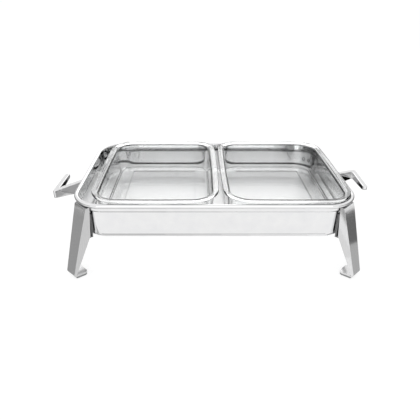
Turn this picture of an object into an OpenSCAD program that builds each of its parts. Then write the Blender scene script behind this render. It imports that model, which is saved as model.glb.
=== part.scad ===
// Double chafing dish: a polished steel pan on four corner legs, with two bar handles
// and two lift-out glass dishes. Millimetres, +Z up, origin on the table under the pan's middle.

/* [Pan] */
// Outside width of the rolled rim, left to right
rim_w = 530; // [440:1:640]
// Outside depth of the rolled rim, front to back
rim_d = 325; // [270:1:400]
// Outside corner radius of the rim in plan
rim_r = 61.5; // [50:0.5:75]
// Height of the rim bead's centre above the table
rim_h = 148; // [125:1:190]
// Diameter of the rolled rim bead
bead_d = 8.8; // [7.5:0.1:11]
// Thickness of the pan's sheet
sheet_t = 1; // [0.8:0.1:1.4]
// Depth of the neck from the bead's centre down to the step
neck_h = 12.5; // [10:0.5:16]
// How far the wall steps inwards below the neck
neck_step = 2.5; // [1.5:0.1:4]
// Depth of the pan from the bead's centre to the underside
pan_depth = 73; // [66:0.5:85]
// Outside radius of the pan's bottom edge
bottom_r = 12; // [6:0.5:14]

/* [Rim wire] */
// Clearance between the wire and the rolled sheet round it
wire_gap = 0.3; // [0.2:0.05:0.6]

/* [Legs] */
// Thickness of the leg's steel
leg_t = 3; // [2:0.1:4]
// Width of the leg's outer plate at its top
leg_top_w = 37.5; // [32:0.5:44]
// Width of the leg's outer plate at the foot
leg_foot_w = 26.5; // [22:0.5:31]
// Drop from the bead's centre to the leg's top edge
leg_drop = 6; // [5.5:0.5:15]
// How far the plate's top stands out past the rim's corner
leg_out = -1.2; // [-1.5:0.1:3]
// How far the foot stands out past the leg's top, along the corner's diagonal
leg_splay = 43.2; // [30:0.1:60]
// Reach of the side gussets inwards at the pan's bottom edge
gusset_reach = 22; // [16:0.5:26]
// Reach of the side gussets inwards at the foot
gusset_foot = 6; // [4.5:0.5:9]
// Clearance between the gussets and the pan's neck
gusset_gap = 0.3; // [0.2:0.05:1]
// Outside radius of the bend at the foot
foot_bend_r = 5; // [4:0.5:7]
// Length of the foot tab from the leg's outer face
foot_len = 31; // [26:0.5:40]
// Width of the foot tab at its free end
foot_end_w = 33; // [27:0.5:38]
// Radius of the foot tab's free corners
foot_r = 7; // [4:0.5:10]

/* [Foot pads] */
// Thickness of the pad under each foot tab
pad_t = 4.5; // [3:0.1:6]
// Margin of the pad inside the foot tab's edge
pad_inset = 0.8; // [0.5:0.1:2]

/* [Leg brackets] */
// Thickness of the bracket inside each leg
bracket_t = 3; // [2:0.1:4]
// Clearance between the bracket and the pan's rounded corner
bracket_seat = 0.2; // [0.1:0.05:0.5]
// Length of the bracket's lip down the inside of the leg
bracket_lip = 16; // [10:0.5:24]
// Metal left above the stud holes at the bracket's end
bracket_end = 9; // [7:0.5:10]
// Clearance between the bracket and the leg's gussets
bracket_gap = 0.5; // [0.3:0.1:1.5]
// Height of the leg studs' lower edge above the pan's bottom bend
leg_stud_rise = 27; // [15:0.5:30]
// Spacing of the two studs in a leg, across the pan's rounded corner
leg_stud_pitch = 16; // [13:0.5:17]

/* [Handles] */
// Thickness of the handle bar
bar_t = 9.3; // [7:0.1:12]
// Distance of the grip's outer face from the rim's outer edge
grip_out = 62; // [52:0.5:75]
// Length of the grip along its outer face
grip_len = 90; // [70:0.5:110]
// Lean of the grip towards the pan at its free end
grip_lean = 2; // [0:0.25:4]
// Distance of the handle's outer corner from the pan's middle line
corner_y = 57; // [45:0.5:65]
// Slant of the arm in plan
arm_slant = 32.4; // [26:0.2:36]
// Drop from the bead's centre to the handle's top at its corner
handle_drop = 22; // [19:0.5:26]
// Height of the bar at its corner
corner_h = 16.5; // [13:0.5:19]
// Height of the bar at the grip's free end
grip_end_h = 9; // [7:0.5:12]
// Rise of the bar's top from the corner to the pan's wall
arm_rise = 10; // [0:0.5:11]
// Fall of the bar's underside from the corner to the pan's wall
arm_fall = 6; // [0:0.5:10]
// Radius of the grip's free end in elevation
grip_end_r = 3; // [1:0.5:4]
// Thickness of the root plate
root_t = 4; // [3:0.1:6]
// Length of the root plate along the wall
root_len = 64; // [58:0.5:80]
// Height of the root plate
root_h = 30; // [24:0.5:36]
// Gap between the pan's neck step and the root plate's top edge
root_gap = 0.5; // [0.3:0.1:4]
// Corner radius of the root plate
root_r = 8; // [3:0.5:10]
// Spacing of the two studs on a root plate
root_stud_pitch = 46; // [42:0.5:52]

/* [Glass dishes] */
// Clear space on the rim left of the left dish
dish_left_space = 32.5; // [24:0.5:45]
// Distance from the right dish's edge to the rim's outer edge
dish_right_inset = 6.5; // [2:0.5:12]
// Gap between the two dishes
dish_gap = 5; // [3:0.5:12]
// How far the dish's flange reaches past the top of the rim bead
dish_lap = 0.5; // [0:0.1:3]
// Clearance between the flange and the rim bead it rests on
dish_seat = 0.3; // [0.2:0.05:0.5]
// Thickness of the flange
dish_flange_t = 5.3; // [4:0.1:7]
// Width of the flange outside the wall
dish_flange_w = 9; // [8.5:0.5:13]
// Outside corner radius of the flange
dish_r = 50; // [42:0.5:60]
// Outside height of the dish
dish_h = 65; // [55:0.5:70]
// Thickness of the dish's walls
dish_wall = 5; // [3.5:0.1:6]
// Thickness of the dish's floor
dish_floor = 5; // [4:0.1:7]
// How far the wall leans inwards from the flange to the floor
dish_lean = 3; // [1:0.5:6]
// Outside radius of the dish's bottom edge
dish_bottom_r = 4; // [2:0.5:8]
// Inside radius between the dish's wall and its floor
dish_inside_r = 5; // [3:0.5:12]

/* [Fasteners] */
// Diameter of the weld studs
stud_d = 5; // [4:0.5:5]
// Clearance round a stud in its hole
stud_gap = 0.25; // [0.15:0.05:0.5]
// Clearance of the thread in the nuts
thread_gap = 0.1; // [0.05:0.05:0.15]
// Stud thread left showing past the nut
stud_end = 1.5; // [0.5:0.1:2]
// Width across the flats of the nuts
nut_af = 8; // [8:0.5:9]
// Height of the nuts
nut_h = 4; // [3:0.1:5]
// Outside diameter of the washers
washer_d = 10; // [9.5:0.5:11]
// Thickness of the washers
washer_t = 1; // [0.6:0.1:1.5]

/* [Hidden] */

$fn = 64;
steel = [0.80, 0.81, 0.82];
bright_steel = [0.88, 0.88, 0.89];
dark_steel = [0.55, 0.56, 0.58];
silicone = [0.72, 0.73, 0.74];
clear_glass = [0.85, 0.90, 0.92, 0.35];

// Extra length of a cutting solid past the faces it cuts
cut = 1;
hex_sides = 6;
// Flat run of a rounded bend or fillet into the flat that it joins
flat_lap = 2;

// Pan section, measured inwards from the rim's outer edge and up from the table
bead_r = bead_d / 2;
neck_in = bead_d - sheet_t;
wall_in = neck_in + neck_step;
neck_z = rim_h - neck_h;
step_z = neck_z - neck_step;
pan_z = rim_h - pan_depth;
neck_r = rim_r - neck_in;
wall_r = rim_r - wall_in;
rim_top_z = rim_h + bead_r;
corner_x = rim_w / 2 - rim_r;
corner_y0 = rim_d / 2 - rim_r;

// Leg lines: u runs outwards from a rim corner's centre along its diagonal
leg_top_z = rim_h - leg_drop;
leg_top_u = rim_r + leg_out;
leg_rise = leg_top_z - pad_t;
lean_rate = leg_splay / leg_rise;
lean_angle = atan(lean_rate);
leg_t_level = leg_t / cos(lean_angle);
tab_z = pad_t + leg_t;
foot_u = leg_top_u + leg_splay;
function plate_u(z) = leg_top_u + (leg_top_z - z) * lean_rate;
function plate_in_u(z) = plate_u(z) - leg_t_level;
function leg_half(z) = leg_foot_w / 2 + (leg_top_w - leg_foot_w) / 2 * (z - pad_t) / leg_rise;
// Gusset line clear of the pan's rounded neck, down to just above its underside
gusset_z = pan_z + bottom_r / 2;
gusset_top_u = sqrt(pow(neck_r + gusset_gap, 2) - pow(leg_half(gusset_z) - leg_t, 2));
gusset_u = max(gusset_top_u, plate_u(gusset_z) - gusset_reach);
foot_end_u = foot_u - foot_len;
// Centre of the foot's outside bend
bend_u = foot_u - foot_bend_r / tan((90 - lean_angle) / 2);
bend_z = pad_t + foot_bend_r;
foot_flare = atan((foot_end_w - leg_foot_w) / 2 / (bend_u - foot_end_u));

// Bracket and studs inside a leg
strap_r = wall_r + bracket_seat;
bracket_lip_z = pan_z - bracket_lip;
bracket_half = leg_half(bracket_lip_z) - leg_t - bracket_gap;
bracket_t_level = bracket_t / cos(lean_angle);
leg_stud_z = pan_z + bottom_r + leg_stud_rise + stud_d / 2;
leg_stud_turn = asin(leg_stud_pitch / 2 / wall_r);
bracket_top_z = leg_stud_z + bracket_end;
leg_grip = bracket_seat + bracket_t;
hole_d = stud_d + 2 * stud_gap;

// Handle lines, drawn for the right end
handle_x = rim_w / 2 + grip_out;
wall_x = rim_w / 2 - wall_in;
root_x = wall_x + root_t;
handle_z = rim_h - handle_drop;
corner_low_z = handle_z - corner_h;
arm_rate = tan(arm_slant);
arm_t_level = bar_t / cos(arm_slant);
arm_sink = root_t / 4;
function arm_outer_y(x) = corner_y - (handle_x - x) * arm_rate;
root_y = arm_outer_y(root_x) - arm_t_level / 2;
root_mid_z = step_z - root_gap - root_h / 2;

// Dish sizes and places
dish_d = rim_d - bead_d + 2 * dish_lap;
dish_w = (rim_w - dish_left_space - dish_right_inset - dish_gap) / 2;
dish_under_z = rim_top_z + dish_seat;
dish_top_z = dish_under_z + dish_flange_t;
dish_z = dish_top_z - dish_h;
right_dish_x = rim_w / 2 - dish_right_inset - dish_w / 2;
left_dish_x = right_dish_x - dish_gap - dish_w;

// A section drawn as x outwards from a corner's centre and y up, carried round a rounded rectangle
module swept_round(width, depth, radius) {
    for (quarter = [0:3]) {
        side_x = quarter % 2 == 0;
        along = (side_x ? depth : width) - 2 * radius;
        out = (side_x ? width : depth) / 2 - radius;
        rotate(90 * quarter) {
            translate([out, along / 2, 0]) rotate_extrude(angle = 90) children();
            translate([out, along / 2, 0]) rotate([90, 0, 0]) linear_extrude(along) children();
        }
    }
}

// A rounded rectangle in plan
module round_plan(width, depth, radius) {
    square([width, depth - 2 * radius], center = true);
    square([width - 2 * radius, depth], center = true);
    for (sx = [-1, 1], sy = [-1, 1])
        translate([sx * (width / 2 - radius), sy * (depth / 2 - radius)]) circle(radius);
}

// A quarter ring of sheet round the origin that turns a wall into a floor, with a short run of the floor
module bend_section(outside_r, thickness) {
    intersection() {
        difference() {
            circle(outside_r);
            circle(outside_r - thickness);
        }
        translate([0, -outside_r]) square(outside_r);
    }
    translate([-flat_lap, -outside_r]) square([flat_lap, thickness]);
}

// The pan's wall from the rolled bead down to the rounded bottom edge
module pan_section() {
    translate([rim_r - bead_r, rim_h]) difference() {
        circle(bead_r);
        circle(bead_r - sheet_t);
    }
    polygon([
        [neck_r - sheet_t, rim_h], [neck_r, rim_h], [neck_r, neck_z], [wall_r, step_z],
        [wall_r, pan_z + bottom_r], [wall_r - sheet_t, pan_z + bottom_r],
        [wall_r - sheet_t, step_z], [neck_r - sheet_t, neck_z]
    ]);
    translate([wall_r - bottom_r, pan_z + bottom_r]) bend_section(bottom_r, sheet_t);
}

module water_pan() {
    floor_in = wall_in + bottom_r;
    color(bright_steel) {
        swept_round(rim_w, rim_d, rim_r) pan_section();
        translate([0, 0, pan_z]) linear_extrude(sheet_t)
            round_plan(rim_w - 2 * floor_in, rim_d - 2 * floor_in, rim_r - floor_in);
    }
}

module rim_wire() {
    color(dark_steel) swept_round(rim_w, rim_d, rim_r)
        translate([rim_r - bead_r, rim_h]) circle(bead_r - sheet_t - wire_gap);
}

// Puts a piece drawn on the u axis at one corner of the pan; side and end are -1 or 1
module at_corner(side, end) {
    mirror([side < 0 ? 1 : 0, 0, 0]) mirror([0, end < 0 ? 1 : 0, 0])
        translate([corner_x, corner_y0, 0]) rotate(45) children();
}

// Extrudes a section drawn as u and height over a width across the leg
module across_leg(width) {
    translate([0, width / 2, 0]) rotate([90, 0, 0]) linear_extrude(width) children();
}

// Extrudes a front view drawn as across and height along u
module along_leg() {
    reach = foot_u + cut;
    rotate([90, 0, 90]) linear_extrude(reach) children();
}

// What the rounded bend at the foot takes off a square corner
module foot_bend_cut() {
    reach = foot_bend_r + cut;
    difference() {
        polygon([
            [bend_u, bend_z], [bend_u, bend_z - reach], [foot_u + cut, pad_t - cut],
            [bend_u + reach * cos(lean_angle), bend_z + reach * sin(lean_angle)]
        ]);
        translate([bend_u, bend_z]) circle(foot_bend_r);
    }
}

// The outer plate and its bend into the foot tab, seen from the side
module leg_plate_section() {
    lap_u = bend_u - flat_lap;
    difference() {
        polygon([
            [leg_top_u, leg_top_z], [foot_u, pad_t], [lap_u, pad_t], [lap_u, tab_z],
            [plate_in_u(tab_z), tab_z], [plate_in_u(leg_top_z), leg_top_z]
        ]);
        foot_bend_cut();
    }
}

module leg_gusset_section() {
    difference() {
        polygon([
            [leg_top_u, leg_top_z], [gusset_top_u, leg_top_z], [gusset_u, gusset_z],
            [plate_u(tab_z) - gusset_foot, tab_z], [plate_u(tab_z), tab_z]
        ]);
        foot_bend_cut();
    }
}

// The leg's tapered front view
module leg_front() {
    polygon([
        [-leg_top_w / 2, leg_top_z], [leg_top_w / 2, leg_top_z],
        [leg_foot_w / 2, pad_t], [-leg_foot_w / 2, pad_t]
    ]);
}

// The two gussets in the same front view
module gusset_front() {
    for (s = [-1, 1]) polygon([
        [s * leg_top_w / 2, leg_top_z], [s * (leg_top_w / 2 - leg_t), leg_top_z],
        [s * (leg_foot_w / 2 - leg_t), pad_t], [s * leg_foot_w / 2, pad_t]
    ]);
}

// Plan of the foot tab, flared from the bend to its round free corners
module tab_plan(margin) {
    half = leg_foot_w / 2 - margin;
    round_r = foot_r - margin;
    end_u = foot_end_u + margin;
    end_half = half + (bend_u - end_u) * tan(foot_flare);
    corner_w = end_half - round_r * tan(45 + foot_flare / 2);
    touch_u = end_u + round_r * (1 + sin(foot_flare));
    touch_w = corner_w + round_r * cos(foot_flare);
    for (s = [-1, 1]) translate([end_u + round_r, s * corner_w]) circle(round_r);
    polygon([
        [bend_u, half], [touch_u, touch_w], [end_u, corner_w],
        [end_u, -corner_w], [touch_u, -touch_w], [bend_u, -half]
    ]);
}

module leg(side, end) {
    color(steel) at_corner(side, end) {
        intersection() {
            across_leg(leg_top_w + 2 * cut) leg_plate_section();
            along_leg() leg_front();
        }
        intersection() {
            across_leg(leg_top_w + 2 * cut) leg_gusset_section();
            along_leg() gusset_front();
        }
        translate([0, 0, pad_t]) linear_extrude(leg_t) tab_plan(0);
    }
}

// The bracket's strap in front view, clear of the gussets at every height
module strap_front() {
    low = leg_half(pan_z) - leg_t - bracket_gap;
    high = leg_half(bracket_top_z) - leg_t - bracket_gap;
    polygon([[-high, bracket_top_z], [high, bracket_top_z], [low, pan_z], [-low, pan_z]]);
}

// Repeats a shape drawn on the origin, pointing up, at both studs of a leg
module at_stud_pair() {
    for (turn = [-leg_stud_turn, leg_stud_turn]) rotate(turn)
        translate([wall_r, 0, leg_stud_z]) rotate([0, 90, 0]) children();
}

// A strap bolted round the pan's corner, with a web out to the leg and a lip welded down its inside
module leg_bracket(side, end) {
    strap_h = bracket_top_z - pan_z;
    web_top_z = pan_z + bracket_t;
    web_u = strap_r + bracket_t / 2;
    color(dark_steel) at_corner(side, end) difference() {
        union() {
            intersection() {
                translate([0, 0, pan_z]) difference() {
                    cylinder(h = strap_h, r = strap_r + bracket_t);
                    translate([0, 0, -cut]) cylinder(h = strap_h + 2 * cut, r = strap_r);
                }
                along_leg() strap_front();
            }
            across_leg(2 * bracket_half) polygon([
                [web_u, web_top_z], [plate_in_u(web_top_z), web_top_z],
                [plate_in_u(bracket_lip_z), bracket_lip_z],
                [plate_in_u(bracket_lip_z) - bracket_t_level, bracket_lip_z],
                [plate_in_u(pan_z) - bracket_t_level, pan_z], [web_u, pan_z]
            ]);
        }
        at_stud_pair() cylinder(h = bracket_seat + bracket_t + cut, d = hole_d);
    }
}

module foot_pad(side, end) {
    color(silicone) at_corner(side, end) linear_extrude(pad_t) tab_plan(pad_inset);
}

// Repeats a fastener drawn on the origin, pointing up, at every leg stud
module at_leg_studs() {
    for (side = [-1, 1], end = [-1, 1]) at_corner(side, end) at_stud_pair() children();
}

// Repeats a fastener drawn on the origin, pointing up, at every handle stud
module at_handle_studs() {
    for (turn = [0, 180], s = [-1, 1]) rotate(turn)
        translate([wall_x, root_y + s * root_stud_pitch / 2, root_mid_z]) rotate([0, 90, 0]) children();
}

module stud(grip) {
    cylinder(h = grip + washer_t + nut_h + stud_end, d = stud_d);
}

module washer(grip) {
    translate([0, 0, grip]) difference() {
        cylinder(h = washer_t, d = washer_d);
        translate([0, 0, -cut]) cylinder(h = washer_t + 2 * cut, d = hole_d);
    }
}

module nut(grip) {
    translate([0, 0, grip + washer_t]) difference() {
        cylinder(h = nut_h, d = nut_af / cos(180 / hex_sides), $fn = hex_sides);
        translate([0, 0, -cut]) cylinder(h = nut_h + 2 * cut, d = stud_d + 2 * thread_gap);
    }
}

module leg_studs() { color(dark_steel) at_leg_studs() stud(leg_grip); }
module leg_washers() { color(dark_steel) at_leg_studs() washer(leg_grip); }
module leg_nuts() { color(dark_steel) at_leg_studs() nut(leg_grip); }
module handle_studs() { color(dark_steel) at_handle_studs() stud(root_t); }
module handle_washers() { color(dark_steel) at_handle_studs() washer(root_t); }
module handle_nuts() { color(dark_steel) at_handle_studs() nut(root_t); }

// Plan of the arm from the root plate's face to the outer corner
module arm_plan() {
    inner_x = handle_x - bar_t;
    start_x = root_x - arm_sink;
    polygon([
        [start_x, arm_outer_y(start_x)], [handle_x, corner_y],
        [inner_x, arm_outer_y(inner_x) - arm_t_level], [start_x, arm_outer_y(start_x) - arm_t_level]
    ]);
}

// Plan of the grip, straight, with its outer corner at the origin and its run towards -y
module grip_plan() {
    corner_cut = bar_t * arm_rate;
    polygon([[0, 0], [0, -grip_len], [-bar_t, -grip_len], [-bar_t, -corner_cut]]);
}

// Front view of the arm: the bar grows taller towards the root
module arm_view() {
    polygon([
        [wall_x, handle_z + arm_rise], [handle_x, handle_z],
        [handle_x, corner_low_z], [wall_x, corner_low_z - arm_fall]
    ]);
}

// Side view of the grip, drawn with the corner at y = 0 and the free end at -grip_len
module grip_view() {
    low = handle_z - grip_end_h;
    difference() {
        polygon([[0, handle_z], [0, corner_low_z], [-grip_len, low], [-grip_len, handle_z]]);
        difference() {
            translate([-grip_len - cut, low - cut]) square(grip_end_r + cut);
            translate([-grip_len + grip_end_r, low + grip_end_r]) circle(grip_end_r);
        }
    }
}

module root_plate() {
    translate([wall_x, root_y, root_mid_z]) rotate([90, 0, 90]) difference() {
        linear_extrude(root_t) round_plan(root_len, root_h, root_r);
        for (s = [-1, 1]) translate([s * root_stud_pitch / 2, 0, -cut])
            cylinder(h = root_t + 2 * cut, d = hole_d);
    }
}

module handle(turn) {
    depth = 2 * (corner_y + grip_len);
    height = rim_h;
    color(steel) rotate(turn) {
        root_plate();
        intersection() {
            linear_extrude(height) arm_plan();
            translate([0, depth / 2, 0]) rotate([90, 0, 0]) linear_extrude(depth) arm_view();
        }
        translate([handle_x, corner_y, 0]) rotate(-grip_lean) intersection() {
            linear_extrude(height) grip_plan();
            translate([-2 * bar_t, 0, 0]) rotate([90, 0, 90]) linear_extrude(3 * bar_t) grip_view();
        }
    }
}

// The dish's flange and leaning wall down to the fillet at the floor and the rounded heel
module dish_section() {
    wall_top_r = dish_r - dish_flange_w;
    wall_foot_r = wall_top_r - dish_lean;
    wall_foot_z = dish_z + dish_floor + dish_inside_r;
    fillet_r = wall_foot_r - dish_wall - dish_inside_r;
    heel_r = wall_foot_r - dish_bottom_r;
    translate([wall_top_r - dish_wall, dish_under_z]) square([dish_flange_w + dish_wall, dish_flange_t]);
    polygon([
        [wall_top_r - dish_wall, dish_under_z], [wall_top_r, dish_under_z],
        [wall_foot_r, wall_foot_z], [wall_foot_r - dish_wall, wall_foot_z]
    ]);
    difference() {
        translate([fillet_r, dish_z]) square([dish_wall + dish_inside_r, dish_floor + dish_inside_r]);
        translate([fillet_r, wall_foot_z]) circle(dish_inside_r);
        difference() {
            translate([heel_r, dish_z - cut]) square(dish_bottom_r + cut);
            translate([heel_r, dish_z + dish_bottom_r]) circle(dish_bottom_r);
        }
    }
    translate([fillet_r - flat_lap, dish_z]) square([flat_lap, dish_floor]);
}

module glass_dish(x) {
    floor_in = dish_flange_w + dish_lean + dish_wall + dish_inside_r;
    color(clear_glass) translate([x, 0, 0]) {
        swept_round(dish_w, dish_d, dish_r) dish_section();
        translate([0, 0, dish_z]) linear_extrude(dish_floor)
            round_plan(dish_w - 2 * floor_in, dish_d - 2 * floor_in, dish_r - floor_in);
    }
}

water_pan();
rim_wire();
leg(-1, -1);  // front_left_leg
leg(1, -1);  // front_right_leg
leg(-1, 1);  // rear_left_leg
leg(1, 1);  // rear_right_leg
leg_bracket(-1, -1);  // front_left_bracket
leg_bracket(1, -1);  // front_right_bracket
leg_bracket(-1, 1);  // rear_left_bracket
leg_bracket(1, 1);  // rear_right_bracket
foot_pad(-1, -1);  // front_left_foot_pad
foot_pad(1, -1);  // front_right_foot_pad
foot_pad(-1, 1);  // rear_left_foot_pad
foot_pad(1, 1);  // rear_right_foot_pad
leg_studs();
leg_washers();
leg_nuts();
handle(180);  // left_handle
handle(0);  // right_handle
handle_studs();
handle_washers();
handle_nuts();
glass_dish(left_dish_x);  // left_glass_dish
glass_dish(right_dish_x);  // right_glass_dish
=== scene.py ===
import math

import bmesh
import bpy
from mathutils import Matrix, Vector


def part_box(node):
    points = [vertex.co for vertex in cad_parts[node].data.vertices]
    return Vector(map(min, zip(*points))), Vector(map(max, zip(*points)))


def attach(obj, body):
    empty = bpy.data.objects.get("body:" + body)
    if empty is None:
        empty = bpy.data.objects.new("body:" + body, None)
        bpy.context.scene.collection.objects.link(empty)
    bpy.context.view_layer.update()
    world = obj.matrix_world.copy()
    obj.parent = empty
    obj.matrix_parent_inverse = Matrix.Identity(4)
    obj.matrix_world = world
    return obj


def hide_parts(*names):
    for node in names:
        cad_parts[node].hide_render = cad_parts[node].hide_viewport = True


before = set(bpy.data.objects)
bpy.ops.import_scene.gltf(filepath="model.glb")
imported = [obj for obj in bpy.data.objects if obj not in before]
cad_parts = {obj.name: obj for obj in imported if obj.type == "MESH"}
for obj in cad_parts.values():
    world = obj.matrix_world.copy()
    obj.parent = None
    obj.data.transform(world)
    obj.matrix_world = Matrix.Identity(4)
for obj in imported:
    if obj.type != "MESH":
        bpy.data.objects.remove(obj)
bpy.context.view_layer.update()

mm = 0.001  # sizes in the dictionaries are millimetres and degrees, except in the studio, which is in metres
print("frame loaded:", len(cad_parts), "CAD nodes")


def linear(hexText):  # sRGB hex to the linear colour that sockets take
    parts = [int(hexText[i:i + 2], 16) / 255 for i in (1, 3, 5)]
    return [p / 12.92 if p <= 0.04045 else ((p + 0.055) / 1.055) ** 2.4 for p in parts] + [1.0]


def plug(tree, node, inputs):  # a socket among the inputs is linked, anything else is set
    for key, value in inputs.items():
        if isinstance(value, bpy.types.NodeSocket):
            tree.links.new(value, node.inputs[key])
        else:
            node.inputs[key].default_value = value


def addNode(tree, kind, inputs=None, **settings):
    node = tree.nodes.new(kind)
    for name, value in settings.items():
        setattr(node, name, value)
    plug(tree, node, inputs or {})
    return node


def newMaterial(name):  # a material with its tree, its Principled shader and the place on the piece
    material = bpy.data.materials.new(name)
    material.use_nodes = True
    tree = material.node_tree
    place = addNode(tree, "ShaderNodeTexCoord").outputs["Object"]
    return material, tree, tree.nodes["Principled BSDF"], place


def setRamp(node, *stops):  # the two stops are (position, hex colour)
    for point, (position, hexText) in zip(node.color_ramp.elements, stops):
        point.position = position
        point.color = linear(hexText)


# Mirror-polished drawn stainless: the buffing leaves almost no grain, but the thin sheet is never quite flat,
# so reflections bend gently, and a haze of rouge and wiping shows as slow changes in roughness.
# The wheel doesn't reach the inside floor, which keeps the satin of the sheet; its paler tint there is
# painted light.
def mirrorPolishedStainless():
    waveSize, hazeSize, sheet, satinFade = 70 * mm, 25 * mm, 1 * mm, 4 * mm
    satin = 0.45
    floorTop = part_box("water_pan")[0].z + sheet
    material, tree, shader, place = newMaterial("stainless_drawn_mirror_polished")
    haze = addNode(tree, "ShaderNodeTexNoise", {
        "Vector": place, "Scale": 1 / hazeSize, "Detail": 4.0}).outputs["Fac"]
    mirror = addNode(tree, "ShaderNodeMapRange", {"Value": haze, "To Min": 0.03, "To Max": 0.07})
    height = addNode(tree, "ShaderNodeSeparateXYZ", {"Vector": place}).outputs["Z"]
    aboveFloor = addNode(tree, "ShaderNodeMapRange", {
        "Value": height, "From Min": floorTop, "From Max": floorTop + satinFade}).outputs["Result"]
    rough = addNode(tree, "ShaderNodeMapRange", {
        "Value": aboveFloor, "To Min": satin, "To Max": mirror.outputs["Result"]})
    shine = addNode(tree, "ShaderNodeValToRGB", {"Fac": haze})
    setRamp(shine, (0.3, "#E4E4E5"), (0.7, "#E9E9E9"))
    # painted light: below the floor's top the tint turns paler than the polished walls, which brightens the
    # floor
    tint = addNode(tree, "ShaderNodeMix", {  # sockets 6 and 7 are its two colours, and output 2 the mixed one
        0: aboveFloor, 6: linear("#F8F8F8"), 7: shine.outputs["Color"]}, data_type="RGBA")
    wave = addNode(tree, "ShaderNodeTexNoise", {"Vector": place, "Scale": 1 / waveSize, "Detail": 1.0})
    bump = addNode(tree, "ShaderNodeBump", {"Height": wave.outputs["Fac"], "Distance": 0.015 * mm})
    plug(tree, shader, {
        "Metallic": 1.0, "Base Color": tint.outputs[2], "Roughness": rough.outputs["Result"],
        "Normal": bump.outputs["Normal"]})
    return material


# Folded stainless plate, belt-polished along its length: bright, with a fine upright grain that blurs it.
# The grain is drawn at 0.8 mm, coarser than the real 0.1 mm, so that it can show at all.
def beltPolishedStainless():
    grainWidth, grainLength = 0.8 * mm, 30 * mm
    material, tree, shader, place = newMaterial("stainless_plate_belt_polished")
    drawnOut = addNode(tree, "ShaderNodeMapping", {
        "Vector": place, "Scale": (1, 1, grainWidth / grainLength)})
    grain = addNode(tree, "ShaderNodeTexNoise", {
        "Vector": drawnOut.outputs["Vector"], "Scale": 1 / grainWidth}).outputs["Fac"]
    rough = addNode(tree, "ShaderNodeMapRange", {"Value": grain, "To Min": 0.05, "To Max": 0.14})
    tint = addNode(tree, "ShaderNodeValToRGB", {"Fac": grain})
    setRamp(tint, (0.3, "#DADADB"), (0.7, "#E3E3E3"))
    bump = addNode(tree, "ShaderNodeBump", {"Height": grain, "Distance": 0.004 * mm})
    plug(tree, shader, {
        "Metallic": 1.0, "Base Color": tint.outputs["Color"], "Roughness": rough.outputs["Result"],
        "Normal": bump.outputs["Normal"]})
    return material


# Investment-cast stainless, buffed by hand: a slow ripple left by the wheel and a few dull patches.
def buffedCastStainless():
    rippleSize, patchSize = 9 * mm, 14 * mm
    material, tree, shader, place = newMaterial("stainless_cast_buffed")
    patch = addNode(tree, "ShaderNodeTexNoise", {
        "Vector": place, "Scale": 1 / patchSize, "Detail": 5.0}).outputs["Fac"]
    rough = addNode(tree, "ShaderNodeMapRange", {"Value": patch, "To Min": 0.03, "To Max": 0.10})
    tint = addNode(tree, "ShaderNodeValToRGB", {"Fac": patch})
    setRamp(tint, (0.3, "#DEDEDF"), (0.7, "#E6E6E6"))
    ripple = addNode(tree, "ShaderNodeTexNoise", {"Vector": place, "Scale": 1 / rippleSize, "Detail": 1.0})
    bump = addNode(tree, "ShaderNodeBump", {"Height": ripple.outputs["Fac"], "Distance": 0.03 * mm})
    plug(tree, shader, {
        "Metallic": 1.0, "Base Color": tint.outputs["Color"], "Roughness": rough.outputs["Result"],
        "Normal": bump.outputs["Normal"]})
    return material


# Pickled stainless, never polished: dark grey, dull and finely grained.
# It is on the brackets, the fasteners, the weld rings and the rim wire.
def pickledStainless():
    grit = 0.6 * mm
    material, tree, shader, place = newMaterial("stainless_pickled")
    grain = addNode(tree, "ShaderNodeTexNoise", {
        "Vector": place, "Scale": 1 / grit, "Detail": 3.0}).outputs["Fac"]
    rough = addNode(tree, "ShaderNodeMapRange", {"Value": grain, "To Min": 0.28, "To Max": 0.45})
    tint = addNode(tree, "ShaderNodeValToRGB", {"Fac": grain})
    setRamp(tint, (0.35, "#727273"), (0.65, "#8A8A8A"))
    bump = addNode(tree, "ShaderNodeBump", {"Height": grain, "Distance": 0.01 * mm})
    plug(tree, shader, {
        "Metallic": 1.0, "Base Color": tint.outputs["Color"], "Roughness": rough.outputs["Result"],
        "Normal": bump.outputs["Normal"]})
    return material


# Moulded silicone: matt grey with a faint bloom and a fine skin.
def mouldedSilicone():
    bloomSize, skinSize = 6 * mm, 0.5 * mm
    material, tree, shader, place = newMaterial("silicone_moulded")
    bloom = addNode(tree, "ShaderNodeTexNoise", {"Vector": place, "Scale": 1 / bloomSize, "Detail": 4.0})
    tint = addNode(tree, "ShaderNodeValToRGB", {"Fac": bloom.outputs["Fac"]})
    setRamp(tint, (0.3, "#A9ABAC"), (0.7, "#BCBDBE"))
    skin = addNode(tree, "ShaderNodeTexNoise", {"Vector": place, "Scale": 1 / skinSize}).outputs["Fac"]
    rough = addNode(tree, "ShaderNodeMapRange", {"Value": skin, "To Min": 0.55, "To Max": 0.75})
    bump = addNode(tree, "ShaderNodeBump", {"Height": skin, "Distance": 0.02 * mm})
    plug(tree, shader, {
        "Base Color": tint.outputs["Color"], "Roughness": rough.outputs["Result"],
        "Normal": bump.outputs["Normal"]})
    return material


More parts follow.
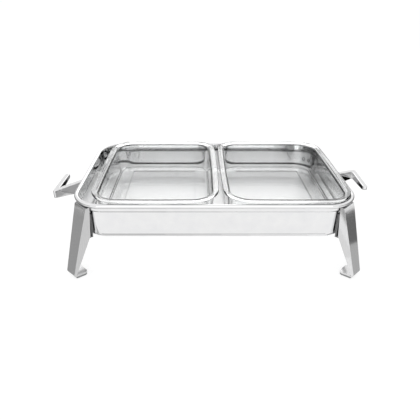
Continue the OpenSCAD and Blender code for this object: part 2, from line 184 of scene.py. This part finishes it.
# Pressed and fire-polished glass: clear, with the slow ripple that the plunger leaves and a faint wipe haze.
# The mould's base is stippled, so the underside scatters what lies below it.
def pressedGlass():
    rippleSize, wipeSize, stippleReach = 22 * mm, 12 * mm, 2 * mm
    stipple = 0.2
    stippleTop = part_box("left_glass_dish")[0].z + stippleReach
    material, tree, shader, place = newMaterial("glass_pressed_clear")
    ripple = addNode(tree, "ShaderNodeTexNoise", {"Vector": place, "Scale": 1 / rippleSize, "Detail": 1.0})
    bump = addNode(tree, "ShaderNodeBump", {"Height": ripple.outputs["Fac"], "Distance": 0.002 * mm})
    wipe = addNode(tree, "ShaderNodeTexNoise", {"Vector": place, "Scale": 1 / wipeSize, "Detail": 5.0})
    height = addNode(tree, "ShaderNodeSeparateXYZ", {"Vector": place}).outputs["Z"]
    under = addNode(tree, "ShaderNodeMath", {0: height, 1: stippleTop}, operation="LESS_THAN")
    rough = addNode(tree, "ShaderNodeMapRange", {"Value": under.outputs[0], "To Min": 0.0, "To Max": stipple})
    tint = addNode(tree, "ShaderNodeValToRGB", {"Fac": wipe.outputs["Fac"]})
    setRamp(tint, (0.3, "#FCFDFD"), (0.7, "#FFFFFF"))
    plug(tree, shader, {
        "Transmission Weight": 1.0, "IOR": 1.47, "Base Color": tint.outputs["Color"],
        "Roughness": rough.outputs["Result"], "Normal": bump.outputs["Normal"]})
    return material


panSteel = mirrorPolishedStainless()
legSteel = beltPolishedStainless()
handleSteel = buffedCastStainless()
plainSteel = pickledStainless()
padSilicone = mouldedSilicone()
dishGlass = pressedGlass()
print("materials made")


def steps(first, last, count):  # count + 1 even values from first to last
    return [first + (last - first) * i / count for i in range(count + 1)]


def onArc(x, y, radius, angle):  # a point on the circle about (x, y)
    return Vector((x + radius * math.cos(math.radians(angle)), y + radius * math.sin(math.radians(angle))))


# The points of an open line. Each corner is (x, y, radius), and its arc touches both runs.
def roundedLine(corners, perTurn=14, fewest=3):
    points = []
    for i, (x, y, radius) in enumerate(corners):
        here = Vector((x, y))
        if radius == 0:
            points.append(here)
            continue
        back = (Vector(corners[i - 1][:2]) - here).normalized()
        on = (Vector(corners[i + 1][:2]) - here).normalized()
        half = back.angle(on) / 2
        centre = here + (back + on).normalized() * radius / math.sin(half)
        first = here + back * radius / math.tan(half) - centre
        turn = first.angle_signed(here + on * radius / math.tan(half) - centre)
        count = max(fewest, round(abs(turn) / math.radians(90) * perTurn))
        for a in steps(0, turn, count):
            points.append(centre + Matrix.Rotation(-a, 2) @ first)
    return points


def planLoop(halfX, halfY, radius, arcSteps, sideSteps=1):  # points round a rounded rectangle
    arcs = []
    for quarter, (sx, sy) in enumerate(((1, 1), (-1, 1), (-1, -1), (1, -1))):
        centre = sx * (halfX - radius), sy * (halfY - radius)
        arcs.append([onArc(*centre, radius, a) for a in steps(90 * quarter, 90 * quarter + 90, arcSteps)])
    loop = []
    for arc, ahead in zip(arcs, arcs[1:] + arcs[:1]):
        loop += arc + [arc[-1].lerp(ahead[0], i / sideSteps) for i in range(1, sideSteps)]
    return loop


def loft(rings):  # a closed skin over rings of equal length, with both ends filled
    bm = bmesh.new()
    made = [[bm.verts.new(p) for p in ring] for ring in rings]
    for low, high in zip(made, made[1:]):
        for i in range(len(low)):
            j = (i + 1) % len(low)
            bm.faces.new((low[i], low[j], high[j], high[i]))
    bm.faces.new(reversed(made[0]))
    bm.faces.new(made[-1])
    bmesh.ops.recalc_face_normals(bm, faces=bm.faces)
    return bm


def makePiece(name, bm, material):
    mesh = bpy.data.meshes.new(name)
    bm.to_mesh(mesh)
    bm.free()
    mesh.materials.append(material)
    piece = bpy.data.objects.new(name, mesh)
    bpy.context.scene.collection.objects.link(piece)
    return piece


def bakeModifiers(piece):  # the evaluated mesh takes the place of the plain one
    made = bpy.data.meshes.new_from_object(piece.evaluated_get(bpy.context.evaluated_depsgraph_get()))
    made.name = piece.name
    piece.modifiers.clear()
    piece.data = made


def smooth(piece, sharpAngle=40):  # smooth shading whose large flat faces stay flat
    piece.data.shade_smooth()
    piece.data.set_sharp_from_angle(angle=math.radians(sharpAngle))
    piece.modifiers.new("flat faces", "WEIGHTED_NORMAL").keep_sharp = True
    bakeModifiers(piece)


def hand(piece, body, slotName, *nodes):  # the piece rides on its body, in place of the named CAD nodes
    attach(piece, body)
    if nodes:
        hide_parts(*nodes)


pan = {
    "rimRadius": 61.5, "bead": 8.8, "sheet": 1.0, "neckDepth": 12.5, "neckStep": 2.5, "stepRadius": 1.6,
    "bottomRadius": 12.0, "insideBend": 30.0, "curlTurn": 308.0, "curlSteps": 40, "arcSteps": 24,
}


def panOutline():  # closed outline of the wall: distance in from the rim's outer edge, and height
    low, high = (corner.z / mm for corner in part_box("water_pan"))
    sheet, beadR = pan["sheet"], pan["bead"] / 2
    beadZ = high - beadR
    neckIn = pan["bead"] - sheet
    wallIn = neckIn + pan["neckStep"]
    floorIn = wallIn + pan["bottomRadius"]
    neckZ = beadZ - pan["neckDepth"]
    stepZ = neckZ - pan["neckStep"]
    outside = roundedLine([
        (floorIn, low, 0), (wallIn, low, pan["bottomRadius"]), (wallIn, stepZ, pan["stepRadius"]),
        (neckIn, neckZ, pan["stepRadius"]), (neckIn, beadZ - sheet, 0)])
    inside = roundedLine([
        (floorIn, low + sheet, 0), (wallIn + sheet, low + sheet, pan["bottomRadius"] - sheet),
        (wallIn + sheet, stepZ, pan["insideBend"]), (pan["bead"], beadZ - sheet, 0)])
    # the curl goes up from the neck, over the top and in again under the bead
    turn = steps(0, pan["curlTurn"], pan["curlSteps"])
    curlInside = [onArc(beadR, beadZ, beadR - sheet, a) for a in turn]
    curlOutside = [onArc(beadR, beadZ, beadR, a) for a in turn]
    return outside + curlInside + curlOutside[::-1] + inside[::-1]


def makePan():
    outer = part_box("water_pan")[1] / mm
    rings = []
    for inset, z in panOutline():
        loop = planLoop(outer.x - inset, outer.y - inset, pan["rimRadius"] - inset, pan["arcSteps"])
        rings.append([Vector((p.x, p.y, z)) * mm for p in loop])
    piece = makePiece("drawn_water_pan", loft(rings), panSteel)
    smooth(piece)
    hand(piece, "frame", "pan_steel", "water_pan")


makePan()
print("pan made")


dish = {
    "flangeWidth": 9.0, "flangeThick": 5.3, "wall": 5.0, "floor": 5.0, "lean": 3.0, "cornerRadius": 50.0,
    "bottomRadius": 4.0, "insideRadius": 5.0, "lipRadius": 2.4, "throatRadius": 7.5, "underRadius": 1.5,
    "ringIn": 45.0, "ringHeight": 0.5, "ringSlope": 4.0, "ringRun": 4.0, "leastRadius": 4.0, "bow": 3.0,
    "arcSteps": 20, "sideSteps": 12,
}


def dishOutline(height):  # distance in from the flange's edge, and height above the dish's underside
    d = dish
    under = height - d["flangeThick"]
    rate = d["lean"] / (under - d["bottomRadius"])  # the wall's lean for each unit of height
    wallLow = d["flangeWidth"] + under * rate
    insideTop = d["flangeWidth"] + d["wall"] - d["flangeThick"] * rate
    insideLow = insideTop + (height - d["floor"]) * rate
    recessIn = d["ringIn"] + d["ringSlope"]
    middle = recessIn + d["ringRun"]
    ringRadius = d["ringSlope"] / 2
    return roundedLine([
        (middle, d["ringHeight"], 0), (recessIn, d["ringHeight"], ringRadius), (d["ringIn"], 0, ringRadius),
        (wallLow, 0, d["bottomRadius"]), (d["flangeWidth"], under, d["underRadius"]),
        (0, under, d["lipRadius"]), (0, height, d["lipRadius"]), (insideTop, height, d["throatRadius"]),
        (insideLow, d["floor"], d["insideRadius"]), (middle, d["floor"], 0),
    ])


def makeDish(node, body):
    low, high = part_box(node)
    middle, half = (low + high) / 2, (high - low) / 2 / mm
    rings = []
    for inset, z in dishOutline((high.z - low.z) / mm):
        radius = max(dish["cornerRadius"] - inset, dish["leastRadius"])
        ring = []
        for p in planLoop(half.x - inset, half.y - inset, radius, dish["arcSteps"], dish["sideSteps"]):
            # the sides bow out towards their middles
            x = p.x * (1 - dish["bow"] / half.x * (p.y / half.y) ** 2)
            y = p.y * (1 - dish["bow"] / half.y * (p.x / half.x) ** 2)
            ring.append(Vector((middle.x + x * mm, middle.y + y * mm, low.z + z * mm)))
        rings.append(ring)
    piece = makePiece("pressed_" + node, loft(rings), dishGlass)
    smooth(piece)
    hand(piece, body, "dish_glass", node)


makeDish("left_glass_dish", "left_dish")
makeDish("right_glass_dish", "right_dish")
print("dishes made")


handle = {
    "bar": 9.3, "gripLean": 2.0, "gripLength": 90.0, "gripRise": 23.5, "cornerY": 57.0, "slant": 32.4,
    "cornerHigh": 16.5, "endHigh": 9.0, "rise": 10.0, "fall": 6.0,
    "rootThick": 4.0, "rootLength": 64.0, "rootHigh": 30.0, "rootRadius": 8.0, "rootEdge": 1.0,
    "edge": 1.4, "outerRound": 3.5, "innerRound": 1.5, "endRound": 2.5, "throat": 4.0, "sunk": 1.0,
    "turnRoom": 4.5, "edgeSteps": 4, "roundSteps": 6, "armSteps": 8, "gripSteps": 6, "cornerSteps": 9,
    "rootSteps": 8,
}


def barRing(outer, inner, top, bottom):  # one section of the bar, from its outer side to its inner side
    edge = handle["edge"]
    across = (inner - outer).normalized()
    width = (inner - outer).length
    ring = []
    for side, z, first in ((edge, bottom + edge, 180), (width - edge, bottom + edge, 270),
                           (width - edge, top - edge, 0), (edge, top - edge, 90)):
        for a in steps(first, first + 90, handle["edgeSteps"]):
            p = outer + across * (side + edge * math.cos(math.radians(a)))
            ring.append(Vector((p.x, p.y, z + edge * math.sin(math.radians(a)))) * mm)
    return ring


def handleBar(low, high):  # rings from inside the root plate, round the corner, to the free end
    h = handle
    wallX, farX, gripTop = low.x, high.x, low.z + h["gripRise"]
    corner = Vector((farX, h["cornerY"]))
    slant, lean = math.radians(h["slant"]), math.radians(h["gripLean"])
    armRun, gripRun = Vector((math.cos(slant), math.sin(slant))), Vector((-math.sin(lean), -math.cos(lean)))
    armSide, gripSide = Vector((armRun.y, -armRun.x)), Vector((gripRun.y, -gripRun.x))
    mitre = (armSide + gripSide).normalized()
    inner = corner + mitre * h["bar"] / mitre.dot(armSide)  # where the two inner faces meet
    armLength = (farX - wallX - h["rootThick"] + h["sunk"]) / armRun.x
    quarter = [math.radians(a) for a in steps(0, 90, h["roundSteps"])]

    def armRing(back, flare):
        start = corner - armRun * back
        share = (farX - start.x) / (farX - wallX)
        bottom = gripTop - h["cornerHigh"] - h["fall"] * share ** 2
        sides = start - armSide * flare, start + armSide * (h["bar"] + flare)
        return barRing(*sides, gripTop + h["rise"] * share, bottom)

    def gripRing(along, tuck):
        bottom = gripTop - h["cornerHigh"] + (h["cornerHigh"] - h["endHigh"]) * along / h["gripLength"]
        start = corner + gripRun * along
        sides = start + gripSide * tuck, start + gripSide * (h["bar"] - tuck)
        return barRing(*sides, gripTop - tuck, bottom + tuck)

    rings = [armRing(armLength, h["throat"])]
    for a in quarter:  # the throat where the bar grows out of its root
        back = armLength - h["sunk"] / armRun.x - h["throat"] * (1 - math.cos(a))
        rings.append(armRing(back, h["throat"] * (1 - math.sin(a))))
    farBack = armLength - 2 * h["throat"]
    innerBack = (corner - inner).dot(armRun) + h["turnRoom"]
    rings += [armRing(back, 0) for back in steps(farBack, innerBack, h["armSteps"])]
    turns = []
    for point, radius in ((corner, h["outerRound"]), (inner, h["innerRound"])):
        before, after = point - armRun * h["bar"], point + gripRun * h["bar"]  # only their directions count
        line = [(*before, 0), (*point, radius), (*after, 0)]
        turns.append(roundedLine(line, h["cornerSteps"])[1:-1])
    for p, q in zip(*turns):
        rings.append(barRing(p, q, gripTop, gripTop - h["cornerHigh"]))
    innerAlong = (inner - corner).dot(gripRun) + h["turnRoom"]
    flatEnd = h["gripLength"] - h["endRound"]
    rings += [gripRing(along, 0) for along in steps(innerAlong, flatEnd, h["gripSteps"])]
    for a in quarter[1:]:  # the rounded free end
        rings.append(gripRing(flatEnd + h["endRound"] * math.sin(a), h["endRound"] * (1 - math.cos(a))))
    return rings


def rootMiddle():  # middle of the right root plate's face on the pan
    low, high = (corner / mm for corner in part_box("right_handle"))
    slant = math.radians(handle["slant"])
    y = handle["cornerY"] - (high.x - low.x - handle["rootThick"]) * math.tan(slant)
    return Vector((low.x, y - handle["bar"] / math.cos(slant) / 2, low.z + handle["rootHigh"] / 2))


def rootPlate():  # rings from the pan's wall outwards
    h = handle
    middle = rootMiddle()
    flat = h["rootThick"] - h["rootEdge"]
    sections = [(0, 0)]
    for a in steps(0, 90, h["edgeSteps"]):
        edge = onArc(0, 0, h["rootEdge"], a)
        sections.append((flat + edge.y, h["rootEdge"] - edge.x))
    rings = []
    for out, tuck in sections:
        halves = h["rootLength"] / 2 - tuck, h["rootHigh"] / 2 - tuck
        loop = planLoop(*halves, h["rootRadius"] - tuck, h["rootSteps"])
        rings.append([(middle + Vector((out, p.x, p.y))) * mm for p in loop])
    return rings


def makeHandle(node, turn):
    low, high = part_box("right_handle")
    bar = makePiece("cast_" + node, loft(handleBar(low / mm, high / mm)), handleSteel)
    root = makePiece("root", loft(rootPlate()), handleSteel)
    union = bar.modifiers.new("one casting", "BOOLEAN")
    union.operation, union.solver, union.object = "UNION", "EXACT", root
    bakeModifiers(bar)
    bpy.data.objects.remove(root)
    bar.data.transform(Matrix.Rotation(turn, 4, "Z"))
    smooth(bar)
    hand(bar, "frame", "handle_steel", node)


makeHandle("right_handle", 0)
makeHandle("left_handle", math.pi)
print("handles made")


# edge widths, and what counts as one point, one flat face and a sharp edge
softened = {
    "leg": 1.1, "bracket": 0.4, "foot_pad": 1.0, "rounds": 3,
    "mergeWithin": 0.005, "flatWithin": 1.0, "sharpFrom": 35.0,
}


def softenedCopy(node, name, width, material):  # a merged copy of a CAD node with its sharp edges rounded
    bm = bmesh.new()
    bm.from_mesh(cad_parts[node].data)
    bmesh.ops.remove_doubles(bm, verts=bm.verts, dist=softened["mergeWithin"] * mm)
    flat = math.radians(softened["flatWithin"])
    bmesh.ops.dissolve_limit(bm, angle_limit=flat, verts=bm.verts, edges=bm.edges)
    piece = makePiece(name, bm, material)
    bevel = piece.modifiers.new("soft edges", "BEVEL")
    bevel.width, bevel.segments, bevel.limit_method = width * mm, softened["rounds"], "ANGLE"
    bevel.angle_limit = math.radians(softened["sharpFrom"])
    bakeModifiers(piece)
    smooth(piece)
    return piece


for corner in ("front_left", "front_right", "rear_left", "rear_right"):
    for kind, made, slotName, material in (
            ("leg", "folded_", "leg_steel", legSteel), ("bracket", "bent_", "plain_steel", plainSteel),
            ("foot_pad", "moulded_", "foot_silicone", padSilicone)):
        node = corner + "_" + kind
        hand(softenedCopy(node, made + node, softened[kind], material), "frame", slotName, node)
print("legs, brackets and pads made")


fastener = {
    "stud": 5.0, "ridge": 0.4, "rootShare": 0.88, "studEnd": 1.5,
    "washer": 10.0, "washerBore": 5.5, "washerThick": 1.0, "washerEdge": 0.2,
    "nutFlats": 8.0, "nutFace": 7.8, "nutBore": 5.2, "nutHigh": 4.0, "coneAngle": 30.0,
    "legGrip": 3.2, "legPitch": 16.0, "handlePitch": 46.0,
    "weld": 9.0, "weldWidth": 2.2, "weldHigh": 1.8, "weldEdge": 0.6,
}


def newTree(name, sizes):  # a Geometry Nodes tree with a named input for each size
    tree = bpy.data.node_groups.new(name, "GeometryNodeTree")
    tree.interface.new_socket("Geometry", in_out="INPUT", socket_type="NodeSocketGeometry")
    tree.interface.new_socket("Geometry", in_out="OUTPUT", socket_type="NodeSocketGeometry")
    for size in sizes:
        tree.interface.new_socket(size, in_out="INPUT", socket_type="NodeSocketFloat")
    return tree, addNode(tree, "NodeGroupInput").outputs


def spread(tree, given, shape):  # lifts the shape off its spot, and sets a copy on every spot along its aim
    lift = addNode(tree, "ShaderNodeCombineXYZ", {"Z": given["Lift"]})
    lifted = addNode(tree, "GeometryNodeTransform", {"Geometry": shape, "Translation": lift.outputs[0]})
    aim = addNode(tree, "GeometryNodeInputNamedAttribute", {"Name": "aim"}, data_type="FLOAT_VECTOR")
    stand = addNode(tree, "FunctionNodeAlignRotationToVector", {"Vector": aim.outputs[0]}, axis="Z")
    turned = addNode(tree, "FunctionNodeAlignRotationToVector", {
        "Rotation": stand.outputs[0], "Vector": (0, 0, -1)}, axis="X", pivot_axis="Z")
    copies = addNode(tree, "GeometryNodeInstanceOnPoints", {
        "Points": given["Geometry"], "Instance": lifted.outputs[0], "Rotation": turned.outputs[0]})
    real = addNode(tree, "GeometryNodeRealizeInstances", {"Geometry": copies.outputs[0]})
    done = addNode(tree, "GeometryNodeSetMaterial", {"Geometry": real.outputs[0], "Material": plainSteel})
    addNode(tree, "NodeGroupOutput", {"Geometry": done.outputs[0]})
    return tree


def studTree():  # a round bar whose thread is a row of ridges, narrowed at its tip
    tree, given = newTree("studs", ("Radius", "Length", "Ridge", "Root Share", "Lift"))
    top = addNode(tree, "ShaderNodeCombineXYZ", {"Z": given["Length"]})
    line = addNode(tree, "GeometryNodeCurvePrimitiveLine", {"End": top.outputs[0]})
    ridges = addNode(tree, "GeometryNodeResampleCurve", {
        "Curve": line.outputs[0], "Length": given["Ridge"]}, mode="LENGTH")
    index = addNode(tree, "GeometryNodeInputIndex")
    groove = addNode(tree, "ShaderNodeMath", {0: index.outputs[0], 1: 2.0}, operation="MODULO")
    tip = addNode(tree, "GeometryNodeCurveEndpointSelection", {"Start Size": 0, "End Size": 1})
    narrow = addNode(tree, "ShaderNodeMath", {0: groove.outputs[0], 1: tip.outputs[0]}, operation="MAXIMUM")
    width = addNode(tree, "ShaderNodeMapRange", {
        "Value": narrow.outputs[0], "To Min": 1.0, "To Max": given["Root Share"]})
    section = addNode(tree, "GeometryNodeCurvePrimitiveCircle", {
        "Resolution": 20, "Radius": given["Radius"]})
    bar = addNode(tree, "GeometryNodeCurveToMesh", {
        "Curve": ridges.outputs[0], "Profile Curve": section.outputs[0], "Scale": width.outputs[0],
        "Fill Caps": True})
    return spread(tree, given, bar.outputs[0])


def washerTree():  # a rectangle with soft corners, swept round a circle
    tree, given = newTree("washers", ("Mean Radius", "Width", "Thickness", "Edge", "Lift"))
    path = addNode(tree, "GeometryNodeCurvePrimitiveCircle", {
        "Resolution": 48, "Radius": given["Mean Radius"]})
    section = addNode(tree, "GeometryNodeCurvePrimitiveQuadrilateral", {
        "Width": given["Width"], "Height": given["Thickness"]})
    soft = addNode(tree, "GeometryNodeFilletCurve", {
        "Curve": section.outputs[0], "Radius": given["Edge"], "Count": 2}, mode="POLY")
    ring = addNode(tree, "GeometryNodeCurveToMesh", {
        "Curve": path.outputs[0], "Profile Curve": soft.outputs[0]})
    return spread(tree, given, ring.outputs[0])


def nutTree():  # a hexagon whose corners a cone cuts at each face, with its bore
    tree, given = newTree("nuts", (
        "Corner Radius", "Face Radius", "Cone Radius", "Bore Radius", "Height", "Lift"))
    hexagon = addNode(tree, "GeometryNodeMeshCylinder", {
        "Vertices": 6, "Radius": given["Corner Radius"], "Depth": given["Height"]})
    cone = addNode(tree, "GeometryNodeMeshCone", {
        "Vertices": 36, "Radius Top": given["Face Radius"], "Radius Bottom": given["Cone Radius"],
        "Depth": given["Height"]})
    half = addNode(tree, "ShaderNodeMath", {0: given["Height"], 1: 0.5}, operation="MULTIPLY")
    up = addNode(tree, "ShaderNodeCombineXYZ", {"Z": half.outputs[0]})
    down = addNode(tree, "ShaderNodeVectorMath", {0: up.outputs[0], "Scale": -1.0}, operation="SCALE")
    upper = addNode(tree, "GeometryNodeTransform", {
        "Geometry": cone.outputs[0], "Translation": down.outputs[0]})
    lower = addNode(tree, "GeometryNodeTransform", {
        "Geometry": cone.outputs[0], "Translation": up.outputs[0], "Rotation": (math.pi, 0, 0)})
    cut = addNode(tree, "GeometryNodeMeshBoolean", operation="INTERSECT", solver="EXACT")
    for shape in (hexagon, upper, lower):
        tree.links.new(shape.outputs[0], cut.inputs["Mesh 2"])
    bore = addNode(tree, "GeometryNodeMeshCylinder", {
        "Vertices": 32, "Radius": given["Bore Radius"], "Depth": given["Cone Radius"]})
    bored = addNode(tree, "GeometryNodeMeshBoolean", {
        "Mesh 1": cut.outputs[0], "Mesh 2": bore.outputs[0]}, operation="DIFFERENCE", solver="EXACT")
    return spread(tree, given, bored.outputs[0])


def makeFasteners(name, spots, tree, sizes, *nodes):  # spots are (place, aim), sizes in mm
    mesh = bpy.data.meshes.new(name)
    mesh.from_pydata([place for place, aim in spots], [], [])
    aims = mesh.attributes.new("aim", "FLOAT_VECTOR", "POINT")
    for item, (place, aim) in zip(aims.data, spots):
        item.vector = aim
    piece = bpy.data.objects.new("steel_" + name, mesh)
    bpy.context.scene.collection.objects.link(piece)
    modifier = piece.modifiers.new("fasteners", "NODES")
    modifier.node_group = tree
    for socket in tree.interface.items_tree:
        if socket.name in sizes:
            unit = 1 if "Share" in socket.name else mm
            modifier[socket.identifier] = sizes[socket.name] * unit
    bakeModifiers(piece)
    smooth(piece)
    hand(piece, "frame", "plain_steel", *nodes)


def legSpots():  # on the pan's rounded corner walls, two side by side in each leg, facing outwards
    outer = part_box("water_pan")[1] / mm
    low, high = (corner.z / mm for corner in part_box("leg_studs"))
    centreX, centreY = outer.x - pan["rimRadius"], outer.y - pan["rimRadius"]
    wallRadius = pan["rimRadius"] - pan["bead"] + pan["sheet"] - pan["neckStep"]
    turn = math.asin(fastener["legPitch"] / 2 / wallRadius)
    spots = []
    for sx, sy in ((-1, -1), (1, -1), (1, 1), (-1, 1)):
        centre = Vector((sx * centreX, sy * centreY, (low + high) / 2))
        for side in (-turn, turn):
            aim = Matrix.Rotation(side, 3, "Z") @ Vector((sx, sy, 0)).normalized()
            spots.append(((centre + aim * wallRadius) * mm, aim))
    return spots


def handleSpots():  # on the pan's end walls, one each side of a handle's arm
    root = rootMiddle()
    spots = []
    for turn in (1, -1):
        for side in (1, -1):
            y = root.y + side * fastener["handlePitch"] / 2
            spots.append((Vector((root.x * turn, y * turn, root.z)) * mm, Vector((turn, 0, 0))))
    return spots


def makeAllFasteners():
    f = fastener
    studs, washers, nuts = studTree(), washerTree(), nutTree()
    studSizes = {"Radius": f["stud"] / 2, "Ridge": f["ridge"], "Root Share": f["rootShare"]}
    washerSizes = {
        "Mean Radius": (f["washer"] + f["washerBore"]) / 4, "Width": (f["washer"] - f["washerBore"]) / 2,
        "Thickness": f["washerThick"], "Edge": f["washerEdge"]}
    nutSizes = {
        "Corner Radius": f["nutFlats"] / math.sqrt(3), "Face Radius": f["nutFace"] / 2,
        "Cone Radius": f["nutFace"] / 2 + f["nutHigh"] / math.tan(math.radians(f["coneAngle"])),
        "Bore Radius": f["nutBore"] / 2, "Height": f["nutHigh"]}
    # stud welding leaves a low ring on the pan's inside, which shows through the glass
    weldSizes = {
        "Mean Radius": (f["weld"] - f["weldWidth"]) / 2, "Width": f["weldWidth"], "Thickness": f["weldHigh"],
        "Edge": f["weldEdge"], "Lift": -pan["sheet"]}
    for where, spots, grip in (
            ("leg", legSpots(), f["legGrip"]), ("handle", handleSpots(), handle["rootThick"])):
        seat = grip + f["washerThick"]
        for kind, tree, sizes in (
                ("_studs", studs, studSizes | {"Length": seat + f["nutHigh"] + f["studEnd"]}),
                ("_washers", washers, washerSizes | {"Lift": grip + f["washerThick"] / 2}),
                ("_nuts", nuts, nutSizes | {"Lift": seat + f["nutHigh"] / 2})):
            makeFasteners(where + kind, spots, tree, sizes, where + kind)
    makeFasteners("weld_rings", legSpots(), washers, weldSizes)


makeAllFasteners()
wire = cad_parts["rim_wire"]
wire.data.materials.clear()
wire.data.materials.append(plainSteel)
print("studs, washers, nuts and weld rings made")


studio = {
    "floorSize": 80.0, "floorColour": "#AAAAAA", "floorGlow": 0.76, "ambient": 0.65,
    # softboxes: place, what they face, size and power
    "boxes": {
        "overhead": ((-0.1, 0.1, 1.7), (0, 0, 0), (2.4, 2.0), 1),
        "behind": ((0.1, 2.4, 1.5), (0, 0, 0.1), (1.9, 1.8), 9.5),
        "front": ((0.0, -2.4, 1.25), (0, 0, 0.1), (3.2, 1.3), 7),
    },
    "cardHeight": 0.0005,
    # grey cards for the metal to mirror, flat on the floor: x from, x to, y from, y to, tone
    "floorCards": {
        "left": (-1.06, -0.285, -0.19, 0.60, "#A8A8A8"),
        "left_front": (-0.46, -0.285, -0.25, -0.19, "#C0C0C0"),
        "front": (-0.27, 0.27, -0.26, -0.228, "#B4B4B4"),
        "front_left": (-0.27, -0.10, -0.228, -0.208, "#B4B4B4"),
        "front_middle": (-0.10, 0.02, -0.228, -0.208, "#E4E4E4"),
        # painted shadow: these three cards under the pan's front edge stand in for the floor's shade there,
        # as the metal mirrors it
        "under_left": (-0.27, -0.04, -0.208, -0.14, "#E4E4E4"),
        "under_middle": (-0.04, 0.08, -0.208, -0.14, "#EBEBEB"),
        "under_right": (0.08, 0.20, -0.208, -0.14, "#F4F4F4"),
        "right": (0.285, 0.51, -0.19, 0.60, "#BEBEBE"),
        "far_right": (0.51, 0.90, -0.19, -0.03, "#727272"),
        "far_right_rear": (0.51, 0.90, 0.05, 0.60, "#727272"),
        "beyond_arm": (0.62, 0.90, -0.03, 0.05, "#727272"),
        # painted shade: the rear card stands in for the shaded floor behind the pan, and the card beyond the
        # right arm darkens that arm's reflection
        "rear": (-0.30, 0.30, 0.18, 0.31, "#202020"),
        "right_arm": (0.53, 0.62, -0.03, 0.05, "#080808"),
    },
    # and upright at the sides: x, y from, y to, height, tone
    "sideCards": {
        "left_side": (-1.1, -0.9, 1.4, 0.25, "#505050"),
        "right_side": (1.1, -0.9, 1.4, 0.25, "#505050"),
    },
}


def seenDirectly(tree):  # 1 for camera, glossy and transmission rays, which all show the white background
    path = addNode(tree, "ShaderNodeLightPath").outputs
    either = addNode(tree, "ShaderNodeMath", {
        0: path["Is Camera Ray"], 1: path["Is Glossy Ray"]}, operation="MAXIMUM")
    shown = addNode(tree, "ShaderNodeMath", {
        0: either.outputs[0], 1: path["Is Transmission Ray"]}, operation="MAXIMUM")
    return shown.outputs[0]


def makeWorld():
    world = bpy.data.worlds.new("white studio")
    bpy.context.scene.world = world
    world.use_nodes = True
    tree = world.node_tree
    strength = addNode(tree, "ShaderNodeMapRange", {
        "Value": seenDirectly(tree), "To Min": studio["ambient"], "To Max": 1.0})
    plug(tree, tree.nodes["Background"], {
        "Color": linear("#FFFFFF"), "Strength": strength.outputs["Result"]})


def stageMaterial(name):  # a material without its Principled shader, with its tree
    material = bpy.data.materials.new(name)
    material.use_nodes = True
    tree = material.node_tree
    tree.nodes.remove(tree.nodes["Principled BSDF"])
    return material, tree


def stagePiece(name, corners, material):
    bm = bmesh.new()
    bm.faces.new([bm.verts.new(corner) for corner in corners])
    piece = makePiece(name, bm, material)
    return piece


def makeFloor():  # a matt floor that takes the shadow, with a glow that lifts it to white
    material, tree = stageMaterial("pale floor")
    matt = addNode(tree, "ShaderNodeBsdfDiffuse", {"Color": linear(studio["floorColour"])})
    level = addNode(tree, "ShaderNodeMath", {
        0: seenDirectly(tree), 1: studio["floorGlow"]}, operation="MULTIPLY")
    glow = addNode(tree, "ShaderNodeEmission", {"Strength": level.outputs[0]})
    both = addNode(tree, "ShaderNodeAddShader", {0: matt.outputs[0], 1: glow.outputs[0]})
    plug(tree, tree.nodes["Material Output"], {"Surface": both.outputs[0]})
    half = studio["floorSize"] / 2
    stagePiece("floor", ((-half, -half, 0), (half, -half, 0), (half, half, 0), (-half, half, 0)), material)


def makeCard(name, corners, tone):  # only mirror rays see it, so its tone is a painted reflection
    material, tree = stageMaterial("card " + name)
    grey = addNode(tree, "ShaderNodeEmission", {"Color": linear(tone)})
    plug(tree, tree.nodes["Material Output"], {"Surface": grey.outputs[0]})
    card = stagePiece("card_" + name, corners, material)
    for rays in ("camera", "diffuse", "transmission", "shadow"):
        setattr(card, "visible_" + rays, False)


def makeCards():
    z = studio["cardHeight"]
    for name, (x1, x2, y1, y2, tone) in studio["floorCards"].items():
        makeCard(name, ((x1, y1, z), (x2, y1, z), (x2, y2, z), (x1, y2, z)), tone)
    for name, (x, y1, y2, high, tone) in studio["sideCards"].items():
        makeCard(name, ((x, y1, z), (x, y2, z), (x, y2, high), (x, y1, high)), tone)


def makeSoftboxes():
    for name, (place, target, size, power) in studio["boxes"].items():
        lamp = bpy.data.lights.new("softbox " + name, "AREA")
        lamp.shape, lamp.size, lamp.size_y, lamp.energy = "RECTANGLE", *size, power
        softbox = bpy.data.objects.new("softbox " + name, lamp)
        softbox.location = place
        softbox.rotation_euler = (Vector(target) - Vector(place)).to_track_quat("-Z", "Y").to_euler()
        softbox.visible_camera = False
        bpy.context.scene.collection.objects.link(softbox)


viewpoint = {  # place in metres, tilt in degrees, lens and sensor in mm
    "place": (-0.0351, -0.7875, 0.4984), "tilt": 60.4, "lens": 34.53, "sensor": 36.0, "shift": 0.0344,
}


def makeCamera():
    lens = bpy.data.cameras.new("camera")
    lens.lens, lens.sensor_width, lens.shift_x = viewpoint["lens"], viewpoint["sensor"], viewpoint["shift"]
    camera = bpy.data.objects.new("camera", lens)
    camera.location = viewpoint["place"]
    camera.rotation_euler = (math.radians(viewpoint["tilt"]), 0, 0)
    bpy.context.scene.collection.objects.link(camera)
    bpy.context.scene.camera = camera


makeWorld()
makeFloor()
makeCards()
makeSoftboxes()
makeCamera()
bpy.context.scene.view_settings.view_transform = "Standard"
print("studio and camera made")
